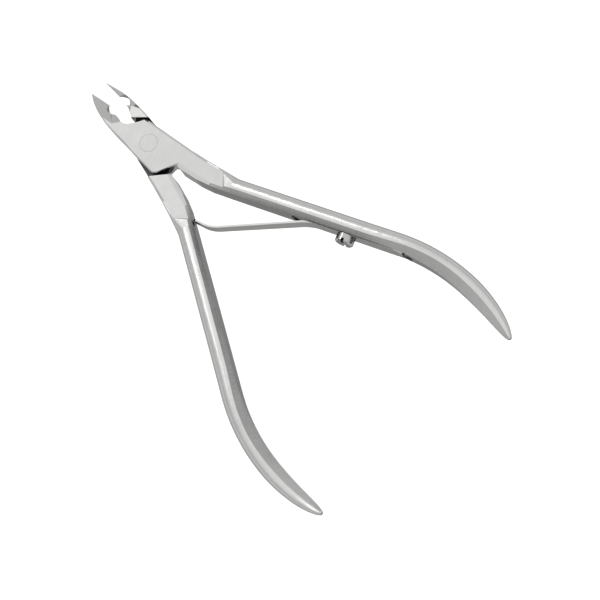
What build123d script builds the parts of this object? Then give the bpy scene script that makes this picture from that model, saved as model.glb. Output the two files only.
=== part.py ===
from build123d import *
import os
from math import atan2, cos, degrees, radians, sin, tan

# A lap-joint cuticle nipper, in millimetres. The pivot axis is the Z axis. X runs from the pivot towards
# the handles, and the front lever's handle lies on the +Y side. Z = 0 is the ground back face of the joint.
# Each lever is drawn with the jaws closed, and is then swung open by half the opening angle.

# ---- joint ----
JOINT_THICKNESS = 6.0
LAP_GAP = 0.05              # running gap between the two lap plates
OPEN_ANGLE = 10.6           # jaws and handles at rest, held open by the spring
MID_Z = JOINT_THICKNESS / 2

# ---- jaws ----
JAW_LENGTH = 22.0           # pivot to jaw tip
EDGE_LENGTH = 5.7           # cutting edge, back from the tip
EDGE_GAP = 0.03             # each edge stands this far off the closing plane
EDGE_LAND = 0.12            # thickness left at the cutting edge
BLADE_WIDTH = 3.8           # cutting edge to the ridge where the blade facet meets the flat
HOLLOW_DEPTH = 1.6          # hollow behind the cutting edge
HOLLOW_LENGTH = 3.8         # that hollow, along the jaw
TIP_LEAN = 0.5              # closing line at the tips, off the X axis to the front lever's handle side
EDGE_LEAN = 0.6             # how much further off it is at the edges' inner ends
JAW_OUTLINE = (             # outer side: share of the jaw's length, half width there, and how far it leans
    (0.086, 4.15, 0.0),
    (0.273, 3.65, 0.0),
    (0.49, 3.3, 0.0),
    (0.664, 2.62, 0.12),
    (0.832, 1.52, 0.2),
)
JAW_EDGE_BREAK = 0.3        # chamfer along the jaw's outer side
JAW_ROOT = 8.5              # pivot to the inner end of the jaw shoulder
PLATE_START = 7.9           # pivot to the inner end of the plate's front edge
SHOULDER_SLOPE = 49.0       # of the jaw shoulder, from the X axis
BLADE_TOP = (2.2, -0.1)     # ends of the blade's back wall, from the start of the hollow
BLADE_FOOT = (5.2, -1.85)
SCOOP_START = (4.6, -3.3)   # ends of the line where the flat begins to slope down to that wall
SCOOP_END = (7.4, -0.1)
SCOOP_DEPTH = 2.2           # drop of that slope at the wall's inner end

# ---- lap plate and block ----
PLATE_HALF = 4.0            # pivot axis to the plate's straight side, near the jaw
PLATE_FRONT = 4.75          # pivot axis to the plate's front corner
BLOCK_START = 10.0          # pivot to the inner corner where the block begins
BLOCK_CORNER_GAP = 0.15     # that corner to the closing plane
BLOCK_SHOULDER_ANGLE = 125.0  # heading of the block's shoulder, from the X axis
NOTCH_RUN = 0.9             # block's inner corner to the bottom of the plate's notch
HEEL_TOP = (6.85, -3.75)    # rounded corner of the plate's heel
HEEL_TURN = (6.3, -4.4)
HEEL = (5.3, -4.7)
EDGE_BREAK = 0.55           # chamfer along the joint's long edges
BLOCK_BEVEL_WIDTH = 0.9     # bevel along the block's inner side, at the notch
BLOCK_BEVEL_HEIGHT = 0.5
FLAT_END = 20.6             # pivot to the middle of the line where the ground flat stops
FLAT_END_SLANT = 28.0       # slant of that line, from square to the handle
FLAT_END_SLOPE = 50.0       # slope of the metal that rises past the flat's end
FLAT_END_RISE = 0.5
CLEARANCE_TOP = ((9.27, 0.99), (9.37, -1.33), (9.9, -0.95), (11.2, 0.2))  # filed clearance
CLEARANCE_RUN = (-0.37, 0.041, -0.928)  # heading of that clearance
RELIEF_LINE = ((7.6, 1.2), (6.2, -4.0))  # line to which the rear lever's heel is ground back
RELIEF_CORNER = (9.2, 0.3)  # where that relief stops short of the block
RELIEF_REACH = 2.0

# ---- handles ----
HANDLE_START = (14.7, 3.3)  # middle of the section where the handle grows out of the block
HANDLE_START_ANGLE = 9.0
HANDLE_ANGLE = 20.0         # heading of the straight stretch
NECK_RADIUS = 50.0          # bend between the block and the straight stretch
STRAIGHT_LENGTH = 38.3
PALM_RADIUS = 47.5          # bend that fits the palm
PALM_ANGLE = 41.6           # how far that bend turns
HANDLE_WIDTH = 4.2
HANDLE_DEPTH = 7.2
BLOCK_WIDTH = 5.1           # block's width where the handle starts
NECK_WIDTH = 4.75           # block's width where its section begins to change
MORPH_START = 3.5           # along the handle, where the block's section ends
MORPH_END = 8.5             # along the handle, where the full handle section begins
RIDGE_SHARE = 0.22          # inner wall to ridge, as a share of the width
BEVEL_SHARE = 0.17          # height of the bevel, as a share of the depth
PALM_RIDGE_SHARE = 0.42     # the same two near the handle's end, where the facet is broad
PALM_BEVEL_SHARE = 0.3
CROWN_SHARE = 0.08
FLANK_SHARE = 0.07
PALM_LENGTH = 42.0          # from the handle's end, where the facet begins to broaden
FACET_RISE = 22.0           # length over which it broadens
WIDTH_TAPER = 16.0          # from the handle's end, where it begins to narrow
DEPTH_TAPER = 30.0          # from the handle's end, where it begins to thin
END_SHARE = 0.985           # how far the taper is along its ellipse at the handle's end
TIP_LENGTH = 3.5            # last stretch, which closes the rounded end

# ---- leaf spring and its screw ----
SPRING_THICKNESS = 0.45
SPRING_ROOT_WIDTH = 3.8
SPRING_TIP_WIDTH = 2.7
SPRING_SEAT = 0.3           # depth of the recess in the handle's straight stretch
SEAT_SIDE_GAP = 0.12        # recess wall to the spring's edge
SEAT_START = 14.0           # along the straight stretch
SEAT_END = 43.5
SPRING_TAIL_GAP = 2.4       # recess end to the spring's tail
SCREW_PLACE = 27.6          # along the straight stretch
LEAF_ANGLE = 42.5           # heading of the free leaf
LEAF_ROOT_RADIUS = 12.0     # bend where the leaf leaves the recess
LEAF_TIP_ANGLE = 13.0       # heading of the curled tip
LEAF_TIP_RADIUS = 7.5       # bend that curls the tip
LEAF_TIP_LENGTH = 2.6
BEARING_SHARE = 0.62        # where on the other handle's neck the tip bears, as a share of the neck
TIP_GAP = 0.06              # leaf tip to the other handle
SCREW_HEAD_DIAMETER = 4.3
SCREW_HEAD_HEIGHT = 1.9
SCREW_RIM = 0.3             # chamfer round the head
SCREW_SLOT_WIDTH = 0.7
SCREW_SLOT_DEPTH = 0.8
SCREW_THREAD_DIAMETER = 2.0
SCREW_THREAD_LENGTH = 2.6
THREAD_GAP = 0.02
SPOT_GAP = 0.12             # screw head to the round spot face that clears it

# ---- rivet ----
RIVET_HEAD_DIAMETER = 4.3
RIVET_HEAD_DEPTH = 1.2
RIVET_DIAMETER = 3.0
RIVET_TAIL_DIAMETER = 4.1
RIVET_TAIL_DEPTH = 0.8
RIVET_GAP = 0.04            # running gap round the rivet in the front lever

FAR = 60.0                  # reach of cutting blocks, well past the nipper's head


def polar(point, angle, distance):
    """The point at a distance from another, along a heading in degrees."""
    return (point[0] + distance * cos(radians(angle)), point[1] + distance * sin(radians(angle)))


# ---- the handle's middle line ----

def turn_left(point, heading, radius, angle):
    """Where an arc ends that starts at a point and turns by an angle, left if it is positive."""
    side = 90.0 if angle > 0 else -90.0
    centre = polar(point, heading + side, radius)
    return polar(centre, heading + angle - side, radius)


NECK_ANGLE = HANDLE_ANGLE - HANDLE_START_ANGLE
NECK_LENGTH = radians(NECK_ANGLE) * NECK_RADIUS
STRAIGHT_START = turn_left(HANDLE_START, HANDLE_START_ANGLE, NECK_RADIUS, NECK_ANGLE)
STRAIGHT_END = polar(STRAIGHT_START, HANDLE_ANGLE, STRAIGHT_LENGTH)
HANDLE_LENGTH = NECK_LENGTH + STRAIGHT_LENGTH + radians(PALM_ANGLE) * PALM_RADIUS


def middle(distance):
    """Point and heading of the handle's middle line at a distance from its start."""
    if distance < NECK_LENGTH:
        turn = degrees(distance / NECK_RADIUS)
        spot = turn_left(HANDLE_START, HANDLE_START_ANGLE, NECK_RADIUS, turn + 1e-9)
        return spot, HANDLE_START_ANGLE + turn
    distance -= NECK_LENGTH
    if distance < STRAIGHT_LENGTH:
        return polar(STRAIGHT_START, HANDLE_ANGLE, distance), HANDLE_ANGLE
    turn = degrees((distance - STRAIGHT_LENGTH) / PALM_RADIUS)
    return turn_left(STRAIGHT_END, HANDLE_ANGLE, PALM_RADIUS, -turn - 1e-9), HANDLE_ANGLE - turn


def across(distance, sideways):
    """Point beside the handle's middle line, outwards if sideways is positive."""
    point, heading = middle(distance)
    return polar(point, heading + 90.0, sideways)


def section(distance, width, depth, ridge, bevel, crown, side):
    """One closed section of the handle.

    ridge is the inner wall to the ridge, across the handle. bevel is how far the ridge stands over the top of
    the inner wall. crown is the width of the ridge's flat. side is the height of the straight outer side,
    between the two outer curves.
    """
    point, heading = middle(distance)
    plane = Plane(
        origin=(point[0], point[1], MID_Z),
        x_dir=(-sin(radians(heading)), cos(radians(heading)), 0),
        z_dir=(cos(radians(heading)), sin(radians(heading)), 0),
    )
    inner = -width / 2
    outer = width / 2
    top = depth / 2
    wall_top = top - bevel
    curve_start = inner + ridge + crown
    reach = outer - curve_start
    rise = top - side / 2
    bulge = (curve_start + reach * sin(radians(45)), side / 2 + rise * sin(radians(45)))
    upper = [
        Line((inner, wall_top), (inner + ridge, top)),
        Line((inner + ridge, top), (curve_start, top)),
        ThreePointArc((curve_start, top), bulge, (outer, side / 2)),
    ]
    lower = [mirror(edge, about=Plane.XZ) for edge in upper]
    wall = Line((inner, -wall_top), (inner, wall_top))
    flank = Line((outer, -side / 2), (outer, side / 2))
    return plane * make_face([wall, *upper, flank, *lower])


def ease(value):
    """Smooth rise from 0 to 1 as the value goes from 0 to 1."""
    value = min(max(value, 0.0), 1.0)
    return value * value * (3 - 2 * value)


def rounded_end(distance, reach):
    """Share of the full size that is left at a place on the handle, whose last reach rounds off."""
    into = max(distance - (HANDLE_LENGTH - reach), 0.0) / reach
    return (1 - (into * END_SHARE) ** 2) ** 0.5


def grip_section(distance):
    """Section of the handle past its neck, where it is a half round with a bevelled inner side."""
    palm = ease((distance - HANDLE_LENGTH + PALM_LENGTH) / FACET_RISE)
    swell = sin(radians(180) * min(distance / HANDLE_LENGTH, 0.5))
    width = (HANDLE_WIDTH + 0.2 * palm) * rounded_end(distance, WIDTH_TAPER)
    depth = (HANDLE_DEPTH - 0.5 + 0.5 * swell) * rounded_end(distance, DEPTH_TAPER)
    ridge = width * (RIDGE_SHARE + (PALM_RIDGE_SHARE - RIDGE_SHARE) * palm)
    bevel = depth * (BEVEL_SHARE + (PALM_BEVEL_SHARE - BEVEL_SHARE) * palm)
    return section(distance, width, depth, ridge, bevel, CROWN_SHARE * width, FLANK_SHARE * depth)


def block_section(distance, width):
    """Section of the block, a rectangle with broken corners."""
    crown = width - 2 * EDGE_BREAK
    flank = JOINT_THICKNESS - 2 * EDGE_BREAK
    return section(distance, width, JOINT_THICKNESS, EDGE_BREAK, EDGE_BREAK, crown, flank)


def evenly(start, end, count):
    """Evenly spaced distances from start to end, both included."""
    return [start + (end - start) * step / count for step in range(count + 1)]


def handle():
    """The bent handle, from inside the block to its rounded tip."""
    tip_start = HANDLE_LENGTH - TIP_LENGTH
    root = loft([block_section(0.0, BLOCK_WIDTH), block_section(MORPH_START, NECK_WIDTH)], ruled=True)
    neck = loft([block_section(MORPH_START, NECK_WIDTH), grip_section(MORPH_END)], ruled=True)
    grip = loft([grip_section(place) for place in evenly(MORPH_END, tip_start, 18)])
    tip = loft([grip_section(place) for place in evenly(tip_start, HANDLE_LENGTH, 5)])
    return root + neck + grip + tip


# ---- the head: jaw, lap plate and block ----

HOLLOW_START = -JAW_LENGTH + EDGE_LENGTH
JAW_SHOULDER_END = (-JAW_ROOT, -0.1)
PLATE_CORNER = (-PLATE_FRONT, PLATE_HALF)
BLOCK_CORNER = (BLOCK_START, BLOCK_CORNER_GAP)
BLOCK_ROOT = across(0, -BLOCK_WIDTH / 2)
NOTCH = (BLOCK_START - NOTCH_RUN, 0.4)
RIVET_HEAD_FLOOR = JOINT_THICKNESS - RIVET_HEAD_DEPTH
HEAD_OUTER_END = across(MORPH_START, NECK_WIDTH / 2)
HEAD_INNER_END = across(MORPH_START, -NECK_WIDTH / 2)


def jaw_tip(side):
    """The jaw's tip, for the lever whose handle is on the leaning side (1) or for the other one (-1)."""
    return (-JAW_LENGTH, side * TIP_LEAN - EDGE_GAP)


def behind_hollow(offset):
    """A point given from the start of the hollow."""
    return (HOLLOW_START + offset[0], offset[1])


def inner_side(side):
    """Cutting edge, hollow and the plate's front edge, from the jaw tip to the plate's front corner."""
    lean = side * (TIP_LEAN + EDGE_LEAN)
    edge_end = (HOLLOW_START, lean - EDGE_GAP)
    down = (HOLLOW_START + 0.2 * HOLLOW_LENGTH, lean - 0.72 * HOLLOW_DEPTH)
    floor = (HOLLOW_START + 0.5 * HOLLOW_LENGTH, lean - HOLLOW_DEPTH)
    up = (HOLLOW_START + 0.82 * HOLLOW_LENGTH, lean - 0.78 * HOLLOW_DEPTH)
    cusp = (HOLLOW_START + HOLLOW_LENGTH, 0.6 * lean - 0.5)
    plate_start = (-PLATE_START, -0.1)
    sag = ((cusp[0] + plate_start[0]) / 2, 0.25 * lean - 0.75)
    return [
        Line(jaw_tip(side), edge_end),
        ThreePointArc(edge_end, down, floor),
        ThreePointArc(floor, up, cusp),
        ThreePointArc(cusp, sag, plate_start),
        Spline(plate_start, (1.3 - PLATE_START, 1.2), PLATE_CORNER),
    ]


def outer_side():
    """The straight outer side, from the plate's front corner to the block's end."""
    return [
        Line(PLATE_CORNER, (9.4, 5.2)),
        Spline((9.4, 5.2), across(0, BLOCK_WIDTH / 2), HEAD_OUTER_END),
        Line(HEAD_OUTER_END, HEAD_INNER_END),
    ]


def block_side():
    """The block's inner side, from the handle back to the lap plate's notch and heel."""
    return [
        Line(HEAD_INNER_END, BLOCK_ROOT),
        Line(BLOCK_ROOT, BLOCK_CORNER),
        Line(BLOCK_CORNER, NOTCH),
        Spline(NOTCH, (NOTCH[0] - NOTCH_RUN, -1.2), HEEL_TOP),
        Spline(HEEL_TOP, HEEL_TURN, HEEL),
    ]


def jaw_side(side):
    """The jaw's outer side, from the heel to the tip."""
    outline = [(-share * JAW_LENGTH, side * lean - half) for share, half, lean in JAW_OUTLINE]
    return [
        Line(HEEL, outline[0]),
        Spline(*outline, jaw_tip(side)),
    ]


def on_rim(edge, rim):
    """Whether an edge of the plate lies over one of the outline's rim edges."""
    spot = edge @ 0.5
    return any((Vector(spot.X, spot.Y) - (line @ 0.5)).length < 0.01 for line in rim)


def jaw_opening_cut(side):
    """Everything on the closing side of the jaw's inner outline."""
    tip = jaw_tip(side)
    past = tip[0] - JAW_ROOT
    around = Polyline(PLATE_CORNER, (PLATE_CORNER[0], JAW_ROOT), (past, JAW_ROOT), (past, tip[1]), tip)
    return extrude(make_face([*inner_side(side), *around.edges()]), JOINT_THICKNESS)


def head(side):
    """The head as a full-thickness plate with its long edges broken."""
    outer = outer_side()
    block = block_side()
    jaw = jaw_side(side)
    tip = jaw_tip(side)
    blank_corner = (tip[0], PLATE_HALF / 2)
    blank = [Line(tip, blank_corner), Line(blank_corner, PLATE_CORNER)]
    plate = extrude(make_face([*blank, *outer, *block, *jaw]), JOINT_THICKNESS)
    plate = chamfer([edge for edge in plate.edges() if on_rim(edge, outer[:2])], EDGE_BREAK)
    plate = chamfer([edge for edge in plate.edges() if on_rim(edge, jaw)], JAW_EDGE_BREAK)
    return plate - jaw_opening_cut(side)


# ---- cutters ----

def through_middle(shape):
    """The same shape on the joint's other face."""
    return mirror(shape, about=Plane.XY.offset(MID_Z))


def lap_cut():
    """The half of the joint's thickness that is milled away behind the front lever's plate."""
    jaw_end = polar(JAW_SHOULDER_END, -SHOULDER_SLOPE, FAR)
    jaw_start = polar(JAW_SHOULDER_END, 180 - SHOULDER_SLOPE, FAR)
    block_end = polar(BLOCK_CORNER, BLOCK_SHOULDER_ANGLE, FAR)
    block_start = polar(BLOCK_CORNER, BLOCK_SHOULDER_ANGLE + 180, FAR)
    between = make_face(Polyline(jaw_start, jaw_end, block_start, block_end, close=True))
    return extrude(between, MID_Z + LAP_GAP / 2)


def flat_cut():
    """Metal that the wheel takes off over one face of the joint, up to the slanted end of the flat."""
    point, heading = middle(FLAT_END - HANDLE_START[0])
    run = heading + FLAT_END_SLANT
    plane = Plane(
        origin=(point[0], point[1], JOINT_THICKNESS),
        x_dir=(cos(radians(run)), sin(radians(run)), 0),
        z_dir=(sin(radians(run)), -cos(radians(run)), 0),
    )
    lift_off = (FLAT_END_RISE / tan(radians(FLAT_END_SLOPE)), FLAT_END_RISE)
    profile = make_face(Polyline((-FAR, 0), (0, 0), lift_off, (lift_off[0], FAR), (-FAR, FAR), close=True))
    return extrude(plane * profile, FAR / 2, both=True)


def facet_cut(side):
    """Metal above one blade facet, which rises from the leaning cutting edge to the ridge."""
    edge_z = MID_Z + EDGE_LAND / 2
    slope = (JOINT_THICKNESS - edge_z) / BLADE_WIDTH
    near = (0.5, edge_z - 0.5 * slope)
    beyond = (-3 * BLADE_WIDTH, edge_z + 3 * BLADE_WIDTH * slope)
    above = Plane.YZ * make_face(Polyline(near, beyond, (0.5, FAR), close=True))
    above = Location((*jaw_tip(side), 0)) * above
    along_edge = Axis((*jaw_tip(side), 0), (0, 0, 1))
    lean = degrees(atan2(side * EDGE_LEAN, EDGE_LENGTH))
    facet = extrude(above, 2 * FAR, both=True).rotate(along_edge, lean)
    return facet & extrude(tip_side(), FAR)


def tip_side():
    """Plan of everything on the tip's side of the blade's back wall."""
    foot = behind_hollow(BLADE_FOOT)
    top = behind_hollow(BLADE_TOP)
    run = degrees(atan2(foot[1] - top[1], foot[0] - top[0]))
    low = polar(foot, run, FAR)
    high = polar(top, run + 180, FAR)
    return make_face(Polyline(high, low, (-2 * FAR, low[1]), (-2 * FAR, high[1]), close=True))


def slope_cut(start, end, low, depth):
    """Metal above a sloping plane that leaves the flat along a line and is deeper at a third place."""
    first = Vector(start[0], start[1], JOINT_THICKNESS)
    along = Vector(end[0], end[1], JOINT_THICKNESS) - first
    down = Vector(low[0], low[1], JOINT_THICKNESS - depth) - first
    normal = along.cross(down)
    if normal.Z < 0:
        normal = -normal
    plane = Plane(origin=first, x_dir=along, z_dir=normal)
    return plane * Box(FAR, FAR, FAR, align=(Align.CENTER, Align.CENTER, Align.MIN))


def scoop_cut():
    """The slope between the blade's back wall and the joint's flat."""
    start = behind_hollow(SCOOP_START)
    end = behind_hollow(SCOOP_END)
    return slope_cut(start, end, behind_hollow(BLADE_TOP), SCOOP_DEPTH) - extrude(tip_side(), FAR)


def block_bevel_cut():
    """The bevel along the block's inner side, which narrows towards the handle."""
    start = (BLOCK_CORNER[0], BLOCK_CORNER[1] + BLOCK_BEVEL_WIDTH)
    end = (HEAD_INNER_END[0], HEAD_INNER_END[1] + EDGE_BREAK + 0.05)
    beyond = Location((NOTCH[0], 0, 0)) * Box(FAR, FAR, FAR, align=(Align.MIN, Align.CENTER, Align.CENTER))
    return slope_cut(start, end, BLOCK_ROOT, BLOCK_BEVEL_HEIGHT) & beyond


def seat_plane():
    """Plane on the recess's floor: X along the straight stretch from its start, Z inwards."""
    start = polar(STRAIGHT_START, HANDLE_ANGLE - 90, HANDLE_WIDTH / 2 - SPRING_SEAT)
    return Plane(
        origin=(start[0], start[1], MID_Z),
        x_dir=(cos(radians(HANDLE_ANGLE)), sin(radians(HANDLE_ANGLE)), 0),
        z_dir=(sin(radians(HANDLE_ANGLE)), -cos(radians(HANDLE_ANGLE)), 0),
    )


def seat_cut():
    """The round-ended recess for the spring, the spot face round the screw and the screw's hole."""
    width = SPRING_ROOT_WIDTH + 2 * SEAT_SIDE_GAP
    centre = Location(((SEAT_START + SEAT_END) / 2, 0, 0))
    recess = extrude(centre * SlotOverall(SEAT_END - SEAT_START, width), FAR)
    screw = Location((SCREW_PLACE, 0, SPRING_THICKNESS))
    spot = extrude(screw * Circle(SCREW_HEAD_DIAMETER / 2 + SPOT_GAP), FAR)
    hole_depth = SCREW_THREAD_LENGTH + 3 * THREAD_GAP
    hole = extrude(screw * Circle(SCREW_THREAD_DIAMETER / 2 + THREAD_GAP), -hole_depth)
    return seat_plane() * (recess + spot + hole)


# ---- levers ----

def disc(diameter, bottom, top):
    """A plain round on the pivot axis between two heights."""
    return extrude(Location((0, 0, bottom)) * Circle(diameter / 2), top - bottom)


def closed_lever(side):
    """A lever as forged and ground, before its rivet hole, with the jaws closed."""
    body = head(side) + handle()
    for cut in (facet_cut(side), scoop_cut(), block_bevel_cut(), flat_cut()):
        body = body - cut - through_middle(cut)
    return body - lap_cut()


def front_lever():
    """The lever that carries the spring, swung open by its half of the opening."""
    head_hole = disc(RIVET_HEAD_DIAMETER + 2 * RIVET_GAP, RIVET_HEAD_FLOOR - RIVET_GAP, JOINT_THICKNESS)
    shank_hole = disc(RIVET_DIAMETER + 2 * RIVET_GAP, 0, JOINT_THICKNESS)
    lever = closed_lever(1) - head_hole - shank_hole - seat_cut()
    return Rot(0, 0, OPEN_ANGLE / 2) * lever - clearance_cut()


def heel_relief_cut():
    """The heel metal that is ground off the rear lever, which keeps its notch clear of the front one's."""
    start, end = RELIEF_LINE
    far_points = ((end[0], -FAR), (FAR, -FAR), (FAR, -RELIEF_REACH))
    plan = make_face(Polyline(start, end, *far_points, RELIEF_CORNER, close=True))
    return extrude(plan, FAR, both=True)


def clearance_cut():
    """The clearance that is filed on a slant through both notches with the nipper at rest."""
    top = Location((0, 0, JOINT_THICKNESS)) * make_face(Polyline(*CLEARANCE_TOP, close=True))
    down = Vector(*CLEARANCE_RUN).normalized()
    return extrude(top, 2 * JOINT_THICKNESS, dir=down)


def rear_lever():
    """The other lever: the same forging turned over, riveted solid and swung open the other way."""
    forging = closed_lever(-1) - heel_relief_cut()
    turned = Location((0, 0, MID_Z)) * Rot(180, 0, 0) * Location((0, 0, -MID_Z)) * forging
    tail_hole = disc(RIVET_TAIL_DIAMETER, 0, RIVET_TAIL_DEPTH)
    shank_hole = disc(RIVET_DIAMETER, 0, JOINT_THICKNESS)
    return Rot(0, 0, -OPEN_ANGLE / 2) * (turned - tail_hole - shank_hole) - clearance_cut()


# ---- small parts ----

def pivot_rivet():
    """The rivet: a flush head in the front plate, a shank, and a flush tail set in the rear plate."""
    rivet_head = disc(RIVET_HEAD_DIAMETER, RIVET_HEAD_FLOOR, JOINT_THICKNESS)
    shank = disc(RIVET_DIAMETER, 0, RIVET_HEAD_FLOOR)
    tail = disc(RIVET_TAIL_DIAMETER, 0, RIVET_TAIL_DEPTH)
    return rivet_head + shank + tail


def leaf_tip():
    """Middle of the leaf's end, where its corner stops just short of the other handle's neck."""
    start = Vector(*across(MORPH_START, -NECK_WIDTH / 2))
    end = Vector(*across(MORPH_END, -HANDLE_WIDTH / 2))
    along = (end - start).normalized()
    bearing = start + (end - start) * BEARING_SHARE
    corner = bearing + Vector(along.Y, -along.X) * TIP_GAP
    corner = Vector(corner.X, -corner.Y).rotate(Axis.Z, -OPEN_ANGLE)
    return polar((corner.X, corner.Y), LEAF_TIP_ANGLE + 90, SPRING_THICKNESS / 2)


def leaf_side(offset):
    """One side of the spring's strip in plan, from the tip to the tail, and its end points."""
    tip = leaf_tip()
    curl_start = polar(tip, LEAF_TIP_ANGLE, LEAF_TIP_LENGTH)
    curl = LEAF_ANGLE - LEAF_TIP_ANGLE
    curl_end = turn_left(curl_start, LEAF_TIP_ANGLE, LEAF_TIP_RADIUS, curl)
    sunk = HANDLE_WIDTH / 2 - SPRING_SEAT + SPRING_THICKNESS / 2
    floor = polar(STRAIGHT_START, HANDLE_ANGLE - 90, sunk)
    turn = LEAF_ANGLE - HANDLE_ANGLE
    to_floor = Vector(floor[0] - curl_end[0], floor[1] - curl_end[1])
    rise = to_floor.Y * cos(radians(HANDLE_ANGLE)) - to_floor.X * sin(radians(HANDLE_ANGLE))
    corner = polar(curl_end, LEAF_ANGLE, rise / sin(radians(turn)))
    shorten = LEAF_ROOT_RADIUS * tan(radians(turn / 2))
    root_start = polar(corner, LEAF_ANGLE, -shorten)
    root_end = polar(corner, HANDLE_ANGLE, shorten)
    middle_line = [
        (tip, LEAF_TIP_ANGLE),
        (curl_start, LEAF_TIP_ANGLE),
        (turn_left(curl_start, LEAF_TIP_ANGLE, LEAF_TIP_RADIUS, curl / 2), LEAF_TIP_ANGLE + curl / 2),
        (curl_end, LEAF_ANGLE),
        (root_start, LEAF_ANGLE),
        (turn_left(root_start, LEAF_ANGLE, LEAF_ROOT_RADIUS, -turn / 2), LEAF_ANGLE - turn / 2),
        (root_end, HANDLE_ANGLE),
        (polar(floor, HANDLE_ANGLE, SEAT_END - SPRING_TAIL_GAP), HANDLE_ANGLE),
    ]
    return [polar(point, heading + 90, offset) for point, heading in middle_line]


def strip_edges(points):
    """Straight, curl, straight, root bend and straight through one side's eight points."""
    return [
        Line(points[0], points[1]),
        ThreePointArc(points[1], points[2], points[3]),
        Line(points[3], points[4]),
        ThreePointArc(points[4], points[5], points[6]),
        Line(points[6], points[7]),
    ]


def leaf_spring():
    """The spring: a bent strip that narrows to its tip, with rounded ends and a hole for the screw."""
    inner = leaf_side(-SPRING_THICKNESS / 2)
    outer = leaf_side(SPRING_THICKNESS / 2)
    ends = [Line(inner[0], outer[0]), Line(inner[-1], outer[-1])]
    strip = extrude(make_face([*strip_edges(inner), *strip_edges(outer), *ends]), JOINT_THICKNESS)
    tip_x = inner[0][0]
    tail_x = outer[-1][0]
    root = SPRING_ROOT_WIDTH / 2
    point = SPRING_TIP_WIDTH / 2
    corner = 0.6 * point
    profile = Plane.XZ * Location((0, MID_Z, 0)) * make_face(Polyline(
        (tip_x - 0.2, -corner),
        (tip_x + 0.6, -point),
        (tail_x - 1.2, -root),
        (tail_x + 0.2, -0.5 * root),
        (tail_x + 0.2, 0.5 * root),
        (tail_x - 1.2, root),
        (tip_x + 0.6, point),
        (tip_x - 0.2, corner),
        close=True,
    ))
    strip = strip & extrude(profile, FAR, both=True)
    screw_line = Location((SCREW_PLACE, 0, 0))
    hole = extrude(screw_line * Circle(SCREW_THREAD_DIAMETER / 2 + THREAD_GAP), 2 * SPRING_THICKNESS)
    return Rot(0, 0, OPEN_ANGLE / 2) * (strip - seat_plane() * hole)


def spring_screw():
    """The spring's screw: a cheese head with a chamfered rim and a slot, on a plain shank."""
    head_start = Location((SCREW_PLACE, 0, SPRING_THICKNESS))
    screw_head = extrude(head_start * Circle(SCREW_HEAD_DIAMETER / 2), SCREW_HEAD_HEIGHT)
    screw_head = chamfer(screw_head.edges().sort_by(Axis.Z)[-1], SCREW_RIM)
    slot = Location((SCREW_PLACE, 0, SPRING_THICKNESS + SCREW_HEAD_HEIGHT)) * Box(
        SCREW_SLOT_WIDTH, 2 * SCREW_HEAD_DIAMETER, 2 * SCREW_SLOT_DEPTH
    )
    shank = extrude(head_start * Circle(SCREW_THREAD_DIAMETER / 2), -SCREW_THREAD_LENGTH)
    return Rot(0, 0, OPEN_ANGLE / 2) * (seat_plane() * (screw_head - slot + shank))


def save(name, shape):
    """Write one piece as a STEP file named after its node."""
    export_step(shape.solids()[0], f"parts/{name}.step")


if __name__ == "__main__":
    os.makedirs("parts", exist_ok=True)
    pieces = {
        "front_lever": front_lever(),
        "rear_lever": rear_lever(),
        "pivot_rivet": pivot_rivet(),
        "leaf_spring": leaf_spring(),
        "spring_screw": spring_screw(),
    }
    for name, shape in pieces.items():
        save(name, shape)
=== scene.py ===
import logging
import math
from dataclasses import dataclass, field
from enum import Enum
from typing import Any

import bmesh
import bpy
from mathutils import Matrix, Vector


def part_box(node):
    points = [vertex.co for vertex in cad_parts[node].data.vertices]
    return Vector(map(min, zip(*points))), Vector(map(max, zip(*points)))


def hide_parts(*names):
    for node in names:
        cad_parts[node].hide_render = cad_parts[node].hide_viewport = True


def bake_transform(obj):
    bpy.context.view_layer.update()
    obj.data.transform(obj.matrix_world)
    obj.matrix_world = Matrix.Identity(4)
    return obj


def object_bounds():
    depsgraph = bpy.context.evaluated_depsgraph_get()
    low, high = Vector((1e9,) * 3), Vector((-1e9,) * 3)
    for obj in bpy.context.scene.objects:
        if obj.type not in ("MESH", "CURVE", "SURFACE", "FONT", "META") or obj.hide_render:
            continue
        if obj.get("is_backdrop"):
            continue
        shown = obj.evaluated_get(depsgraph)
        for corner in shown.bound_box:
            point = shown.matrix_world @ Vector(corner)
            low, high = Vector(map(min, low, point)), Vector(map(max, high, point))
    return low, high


log = logging.getLogger("nipper")
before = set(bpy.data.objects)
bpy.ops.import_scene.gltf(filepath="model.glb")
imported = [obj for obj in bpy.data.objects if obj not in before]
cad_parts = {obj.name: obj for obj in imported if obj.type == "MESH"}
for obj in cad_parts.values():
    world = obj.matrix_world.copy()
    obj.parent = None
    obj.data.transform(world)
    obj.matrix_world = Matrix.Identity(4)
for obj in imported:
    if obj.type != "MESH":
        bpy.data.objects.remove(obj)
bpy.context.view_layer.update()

MM = 0.001
# The lap faces picked out by these are painted near black as shade in the lever finishes.
LAP_HEIGHT = 3.0 * MM       # middle of the joint, where the two lap plates meet
LAP_MARGIN = 0.1 * MM
LAP_LEVEL = (0.97, 0.99)    # how squarely a face looks up or down to count as part of the lap


class Body(Enum):
    """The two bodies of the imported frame, one for each lever."""

    FRONT = "front"
    REAR = "rear"


class Slot(Enum):
    """The record's material slots."""

    LEVER = "lever_steel"
    RIVET = "rivet_steel"
    SPRING = "spring_steel"
    SCREW = "screw_steel"


# ---- shader maths ----

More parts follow.
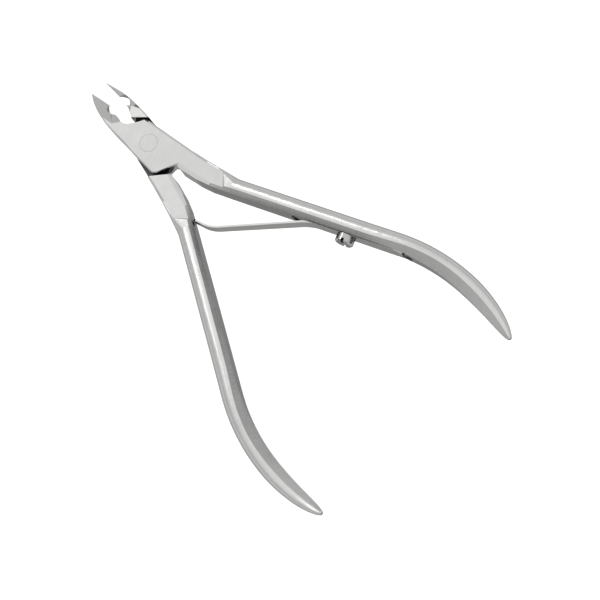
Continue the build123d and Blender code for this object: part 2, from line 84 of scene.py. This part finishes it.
class Wire:
    """A shader socket that can be used in arithmetic."""

    def __init__(self, graph: "Graph", socket: bpy.types.NodeSocket) -> None:
        """Wrap an output socket.

        Args:
            graph: The graph that the socket's node belongs to.
            socket: The output socket.
        """
        self.graph = graph
        self.socket = socket

    def _math(self, operation: str, *values: Any) -> "Wire":
        """Join this socket and other values with one Math node.

        Args:
            operation: The Math node's operation.
            *values: The node's inputs in order, wires or numbers.

        Returns:
            The Math node's output.
        """
        return self.graph.add("ShaderNodeMath", {"operation": operation}, dict(enumerate(values)))

    def __add__(self, other: Any) -> "Wire":
        """Sum."""
        return self._math("ADD", self, other)

    def __radd__(self, other: Any) -> "Wire":
        """Sum with a number on the left."""
        return self._math("ADD", other, self)

    def __sub__(self, other: Any) -> "Wire":
        """Difference."""
        return self._math("SUBTRACT", self, other)

    def __rsub__(self, other: Any) -> "Wire":
        """Difference from a number on the left."""
        return self._math("SUBTRACT", other, self)

    def __mul__(self, other: Any) -> "Wire":
        """Product."""
        return self._math("MULTIPLY", self, other)

    def __rmul__(self, other: Any) -> "Wire":
        """Product with a number on the left."""
        return self._math("MULTIPLY", other, self)

    def __abs__(self) -> "Wire":
        """Absolute value."""
        return self._math("ABSOLUTE", self)

    def fade(self, start: float, end: float) -> "Wire":
        """Rise smoothly from 0 to 1 between two values.

        Args:
            start: Where the result is 0.
            end: Where the result is 1. It may be less than start.

        Returns:
            The faded value.
        """
        settings = {"interpolation_type": "SMOOTHSTEP"}
        inputs = {"Value": self, "From Min": start, "From Max": end}
        return self.graph.add("ShaderNodeMapRange", settings, inputs)


class Graph:
    """The node graph of one material or world."""

    def __init__(self, owner: Any) -> None:
        """Clear the owner's nodes.

        Args:
            owner: A material or a world.
        """
        owner.use_nodes = True
        self.tree = owner.node_tree
        self.tree.nodes.clear()

    def add(
        self, kind: str, settings: dict | None = None, inputs: dict | None = None, output: Any = 0,
    ) -> Wire | None:
        """Make one node.

        Args:
            kind: The node's type.
            settings: Properties of the node, set first.
            inputs: Values or wires by socket name or number.
            output: Name or number of the output to return.

        Returns:
            The chosen output, or None for a node that has no outputs.
        """
        node = self.tree.nodes.new(kind)
        for name, value in (settings or {}).items():
            setattr(node, name, value)
        for name, value in (inputs or {}).items():
            if isinstance(value, Wire):
                self.tree.links.new(value.socket, node.inputs[name])
            else:
                node.inputs[name].default_value = value
        return Wire(self, node.outputs[output]) if len(node.outputs) else None

    def place(self) -> Wire:
        """Object coordinates."""
        return self.add("ShaderNodeTexCoord", output="Object")

    def turned(self, heading: float, scale: tuple) -> Wire:
        """Object coordinates with X turned to a heading about Z, then scaled.

        Args:
            heading: Degrees from the row's X axis.
            scale: Three factors, per metre.

        Returns:
            The turned coordinates.
        """
        turn = {"vector_type": "TEXTURE"}
        rotation = (0, 0, math.radians(heading))
        level = self.add("ShaderNodeMapping", turn, {"Vector": self.place(), "Rotation": rotation})
        return self.add("ShaderNodeVectorMath", {"operation": "MULTIPLY"}, {0: level, 1: scale})

    def noise(self, vector: Wire, scale: float, detail: float = 2.0) -> Wire:
        """Noise between 0 and 1.

        Args:
            vector: Where it is read.
            scale: Its frequency.
            detail: Its octaves.

        Returns:
            The noise value.
        """
        inputs = {"Vector": vector, "Scale": scale, "Detail": detail}
        return self.add("ShaderNodeTexNoise", None, inputs)


def new_graph(name: str) -> tuple[bpy.types.Material, Graph]:
    """Make an empty material.

    Args:
        name: The material's name.

    Returns:
        The material and its graph.
    """
    material = bpy.data.materials.new(name)
    return material, Graph(material)


# ---- finishes ----

@dataclass(frozen=True)
class Brush:
    """One direction of fine brush lines."""

    heading: float
    pitch: float = 0.3 * MM
    depth: float = 0.02 * MM
    stretch: float = 30.0
    octaves: float = 3.0


@dataclass(frozen=True)
class SteelFinish:
    """Satin stainless steel with fine brush lines, with painted shade: side walls coloured darker
    than faces that look up or down, and lap faces, where given, coloured near black.
    """

    name: str
    grey: float
    # Painted shade: the colour of faces turned to the side.
    side_shade_grey: float
    roughness: float
    brush: Brush
    # Painted shade: the colour of the lap faces.
    lap_shade_grey: float = 0.0
    edge_tint: float = 0.4
    tint: tuple = (1.0, 0.994, 0.985)
    level_from: float = 0.95
    cloud_scale: float = 260.0
    cloud_octaves: float = 3.0
    darkest: float = 0.89
    line_grey: float = 0.1
    cloud_grey: float = 0.1
    polish: float = 0.05
    line_roughness: float = 0.05
    cloud_roughness: float = 0.07
    relief: float = 0.5

    def material(self) -> bpy.types.Material:
        """Build the material.

        Returns:
            The finished material.
        """
        material, graph = new_graph(self.name)
        lines = self._lines(graph)
        cloud = graph.noise(graph.place(), self.cloud_scale, self.cloud_octaves)
        normal = graph.add("ShaderNodeNewGeometry", output="Normal")
        up = abs(graph.add("ShaderNodeSeparateXYZ", None, {0: normal}, output="Z"))
        # Painted shade: faces turned to the side are coloured darker than faces looking up or down.
        facing = up.fade(0.0, self.level_from)
        grey = self.side_shade_grey + facing * (self.grey - self.side_shade_grey)
        # Painted shade: the lap faces half way up the joint are coloured near black.
        if self.lap_shade_grey:
            grey = grey + self._lap_shade_mask(graph, up) * (self.lap_shade_grey - self.grey)
        grey = grey * (self.darkest + self.line_grey * lines + self.cloud_grey * cloud)
        roughness = self.roughness - self.polish
        roughness = roughness + self.cloud_roughness * cloud + self.line_roughness * lines
        colour = graph.add("ShaderNodeCombineColor", None, {
            "Red": grey * self.tint[0], "Green": grey * self.tint[1], "Blue": grey * self.tint[2],
        })
        bump = graph.add("ShaderNodeBump", None, {
            "Strength": self.relief, "Distance": self.brush.depth, "Height": lines,
        })
        shader = graph.add("ShaderNodeBsdfPrincipled", None, {
            "Base Color": colour, "Metallic": 1.0, "Roughness": roughness, "Normal": bump,
            "Specular Tint": (self.edge_tint, self.edge_tint, self.edge_tint, 1.0),
        })
        graph.add("ShaderNodeOutputMaterial", None, {"Surface": shader})
        return material

    def _lap_shade_mask(self, graph: Graph, up: Wire) -> Wire:
        """Where the milled faces of the lap are, half way up the joint, which are painted near
        black as shade.

        Args:
            graph: The material's graph.
            up: How far the surface faces up or down.

        Returns:
            1 on those faces and 0 elsewhere.
        """
        height = graph.add("ShaderNodeSeparateXYZ", None, {0: graph.place()}, output="Z")
        off_middle = abs(height - LAP_HEIGHT)
        return off_middle.fade(2 * LAP_MARGIN, LAP_MARGIN) * up.fade(*LAP_LEVEL)

    def _lines(self, graph: Graph) -> Wire:
        """Brush lines across the brush's heading.

        Args:
            graph: The material's graph.

        Returns:
            The height of the lines, between 0 and 1.
        """
        brush = self.brush
        along = 1.0 / brush.pitch
        across = along / brush.stretch
        return graph.noise(graph.turned(brush.heading, (along, across, across)), 1.0, brush.octaves)


class Finishes:
    """The finishes of the nipper's pieces."""

    def __init__(self) -> None:
        """Build every finish once."""
        # Painted shade: the side grey colours each piece's side walls darker than its flats, and
        # the lap grey colours the levers' lap faces near black.
        self.front = SteelFinish(
            name="front_lever_satin", grey=0.53, side_shade_grey=0.25, lap_shade_grey=0.07, roughness=0.17,
            brush=Brush(25.3),
        ).material()
        self.rear = SteelFinish(
            name="rear_lever_satin", grey=0.53, side_shade_grey=0.25, lap_shade_grey=0.07, roughness=0.23,
            brush=Brush(-25.3),
        ).material()
        self.rivet = SteelFinish(
            name="rivet_satin", grey=0.53, side_shade_grey=0.25, roughness=0.18,
            brush=Brush(40.0, depth=0.01 * MM),
        ).material()
        self.spring = SteelFinish(
            name="spring_satin", grey=0.55, side_shade_grey=0.32, roughness=0.26,
            brush=Brush(110.0, pitch=0.2 * MM, depth=0.01 * MM),
        ).material()
        self.screw = SteelFinish(
            name="screw_turned", grey=0.4, side_shade_grey=0.28, roughness=0.16,
            brush=Brush(0.0, pitch=0.2 * MM, depth=0.01 * MM),
        ).material()


# ---- pieces ----

@dataclass
class Rigid:
    """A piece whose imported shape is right, which only takes a finish."""

    node: str
    finish: bpy.types.Material

    def build(self) -> bpy.types.Object:
        """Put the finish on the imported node.

        Returns:
            The dressed node.
        """
        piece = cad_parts[self.node]
        piece.data.materials.clear()
        piece.data.materials.append(self.finish)
        return piece


@dataclass
class Spring:
    """The leaf spring, cut into short lengths."""

    finish: bpy.types.Material
    node: str = "leaf_spring"
    cuts: int = 90
    crease: float = 30.0
    weld: float = 0.5e-6
    flat_angle: float = 0.5
    cut_weld: float = 1e-7
    lift_off: tuple = (0.0405, 0.0, 0.003)
    tip: tuple = (0.0215, 0.0, 0.003)

    def build(self) -> bpy.types.Object:
        """Copy the node, merge it and slice it.

        Returns:
            The finished strip.
        """
        mesh = bpy.data.meshes.new("leaf_spring_strip")
        work = bmesh.new()
        work.from_mesh(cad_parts[self.node].data)
        bmesh.ops.remove_doubles(work, verts=work.verts, dist=self.weld)
        flat = math.radians(self.flat_angle)
        bmesh.ops.dissolve_limit(work, angle_limit=flat, verts=work.verts, edges=work.edges)
        self.slice(work)
        work.to_mesh(mesh)
        work.free()
        mesh.materials.clear()
        mesh.materials.append(self.finish)
        mesh.shade_smooth()
        mesh.set_sharp_from_angle(angle=math.radians(self.crease))
        piece = bpy.data.objects.new(mesh.name, mesh)
        bpy.context.scene.collection.objects.link(piece)
        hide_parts(self.node)
        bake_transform(piece)
        return piece

    def slice(self, work: bmesh.types.BMesh) -> None:
        """Cut the strip across its length.

        Args:
            work: The merged strip.
        """
        low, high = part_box(self.node)
        for step in range(1, self.cuts):
            x = low.x + (high.x - low.x) * step / self.cuts
            everything = [*work.verts, *work.edges, *work.faces]
            bmesh.ops.bisect_plane(
                work, geom=everything, dist=self.cut_weld, plane_co=(x, 0, 0), plane_no=(1, 0, 0),
            )


@dataclass
class Nipper:
    """All five pieces, dressed."""

    finishes: Finishes = field(default_factory=Finishes)

    def build(self) -> list[bpy.types.Object]:
        """Build every piece in order.

        Returns:
            The finished pieces.
        """
        looks = self.finishes
        parts = [
            Rigid("rear_lever", looks.rear),
            Rigid("front_lever", looks.front),
            Rigid("pivot_rivet", looks.rivet),
            Spring(looks.spring),
            Rigid("spring_screw", looks.screw),
        ]
        return [part.build() for part in parts]


# ---- stage ----

@dataclass(frozen=True)
class Panel:
    """A rectangular light that faces the nipper, in metres and watts."""

    name: str
    place: tuple
    size: tuple
    power: float

    def build(self, target: Vector) -> None:
        """Hang the light.

        Args:
            target: What it faces.
        """
        light = bpy.data.lights.new(self.name, "AREA")
        light.shape = "RECTANGLE"
        light.size, light.size_y = self.size
        light.energy = self.power
        lamp = bpy.data.objects.new(self.name, light)
        lamp.location = self.place
        lamp.rotation_euler = (target - Vector(self.place)).to_track_quat("-Z", "Y").to_euler()
        bpy.context.scene.collection.objects.link(lamp)


@dataclass
class Studio:
    """Floor, sky, lights and camera."""

    floor_size: float = 12.0
    floor_drop: float = 0.16
    floor_grey: float = 0.95
    horizon: float = 0.76
    horizon_side: float = 0.1
    side_reach: tuple = (-0.6, 0.6)
    overhead: float = 1.2
    overhead_reach: tuple = (0.1, 0.8)
    panels: tuple = (
        Panel("strip", (-0.62, 0.03, 0.64), (1.1, 0.07), 1.7),
        Panel("fill", (0.5, -0.4, 0.9), (0.6, 0.6), 1.0),
    )
    nearest: float = 0.01
    lens: float = 90.0
    sensor: float = 36.0
    aim: tuple = (0.0517, 0.00065, 0.0)
    back: tuple = (0.370, -0.041, 0.928)
    up: tuple = (-0.6738, 0.6759, 0.2985)
    distance: float = 0.3319

    def build(self) -> None:
        """Build the whole studio."""
        self.floor()
        self.sky()
        for panel in self.panels:
            panel.build(Vector(self.aim))
        self.camera()

    def floor(self) -> None:
        """A plain pale floor well under the nipper, so that no hard shadow falls on it."""
        low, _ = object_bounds()
        work = bmesh.new()
        bmesh.ops.create_grid(work, x_segments=1, y_segments=1, size=self.floor_size / 2)
        bmesh.ops.translate(work, verts=work.verts, vec=(0, 0, low.z - self.floor_drop))
        mesh = bpy.data.meshes.new("floor")
        work.to_mesh(mesh)
        work.free()
        material, graph = new_graph("floor_white")
        white = (self.floor_grey, self.floor_grey, self.floor_grey, 1.0)
        shader = graph.add("ShaderNodeBsdfDiffuse", None, {"Color": white})
        graph.add("ShaderNodeOutputMaterial", None, {"Surface": shader})
        mesh.materials.append(material)
        piece = bpy.data.objects.new("floor", mesh)
        bpy.context.scene.collection.objects.link(piece)
        piece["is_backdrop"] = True

    def sky(self) -> None:
        """A soft sky, bright overhead and dimmer towards the horizon."""
        world = bpy.data.worlds.new("studio")
        bpy.context.scene.world = world
        graph = Graph(world)
        way = graph.add("ShaderNodeTexCoord", output="Generated")
        height = graph.add("ShaderNodeSeparateXYZ", None, {0: way}, output="Z")
        aside = graph.add("ShaderNodeSeparateXYZ", None, {0: way}, output="Y")
        level = self.horizon + self.horizon_side * aside.fade(*self.side_reach)
        glow = level + (self.overhead - level) * height.fade(*self.overhead_reach)
        white = (1.0, 1.0, 1.0, 1.0)
        shader = graph.add("ShaderNodeBackground", None, {"Color": white, "Strength": glow})
        graph.add("ShaderNodeOutputWorld", None, {"Surface": shader})

    def camera(self) -> None:
        """The camera at its place and angle."""
        back = Vector(self.back).normalized()
        right = Vector(self.up).cross(back).normalized()
        up = back.cross(right)
        data = bpy.data.cameras.new("camera")
        data.lens = self.lens
        data.sensor_width = self.sensor
        data.clip_start = self.nearest
        camera = bpy.data.objects.new("camera", data)
        place = Vector(self.aim) + back * self.distance
        turn = Matrix((right, up, back)).transposed().to_4x4()
        camera.matrix_world = Matrix.Translation(place) @ turn
        bpy.context.scene.collection.objects.link(camera)
        bpy.context.scene.camera = camera


def main() -> None:
    """Build the pieces and the studio."""
    logging.basicConfig(level=logging.INFO, format="%(message)s")
    bpy.context.scene.view_settings.view_transform = "Standard"
    for piece in Nipper().build():
        log.info("built %s", piece.name)
    Studio().build()


if __name__ == "__main__":
    main()
